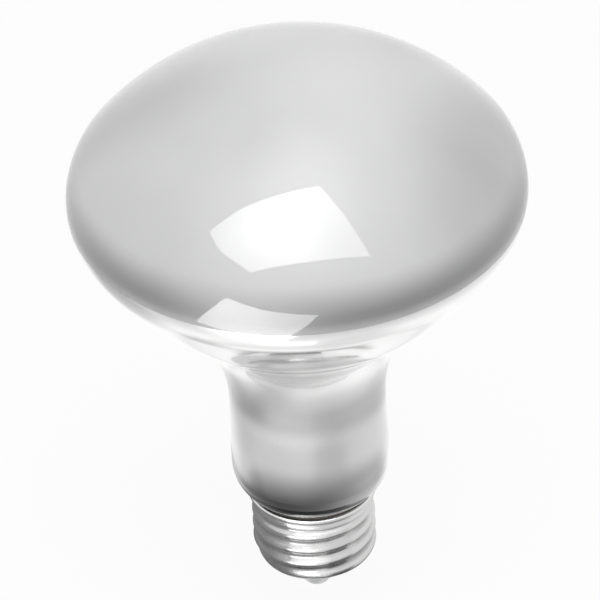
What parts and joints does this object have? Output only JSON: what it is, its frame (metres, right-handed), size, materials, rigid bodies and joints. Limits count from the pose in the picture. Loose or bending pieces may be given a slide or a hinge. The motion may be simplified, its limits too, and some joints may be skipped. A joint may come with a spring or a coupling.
{
  "type": "reflector bulb",
  "caption": "Reflector lamp with a domed frosted face, a mirrored bowl and neck, and a medium screw cap with a solder tip contact.",
  "frame": {"origin": "on the axis at the flat end of the solder tip, where the lampholder's centre contact touches", "axes": "+Z along the axis from the solder tip to the top of the face; +Y towards the side solder at the back"},
  "size_m": [0.095, 0.095, 0.1345],
  "materials": {
    "bulb_glass": "glossy outside, satin frost inside the face, mirror coating inside the bowl and neck",
    "cap_metal": "bright rolled sheet",
    "black_glass": "gloss",
    "contact_brass": "stamped",
    "solder": "dull bright",
    "cement": "matt",
    "lead_wire": "drawn wire"
  },
  "bodies": {
    "root": {"glass_bulb": "bulb_glass", "screw_shell": "cap_metal", "insulator": "black_glass", "contact_plate": "contact_brass", "centre_solder": "solder", "cement_ring": "cement", "centre_lead": "lead_wire", "side_lead": "lead_wire", "side_solder": "solder"}
  },
  "joints": []
}
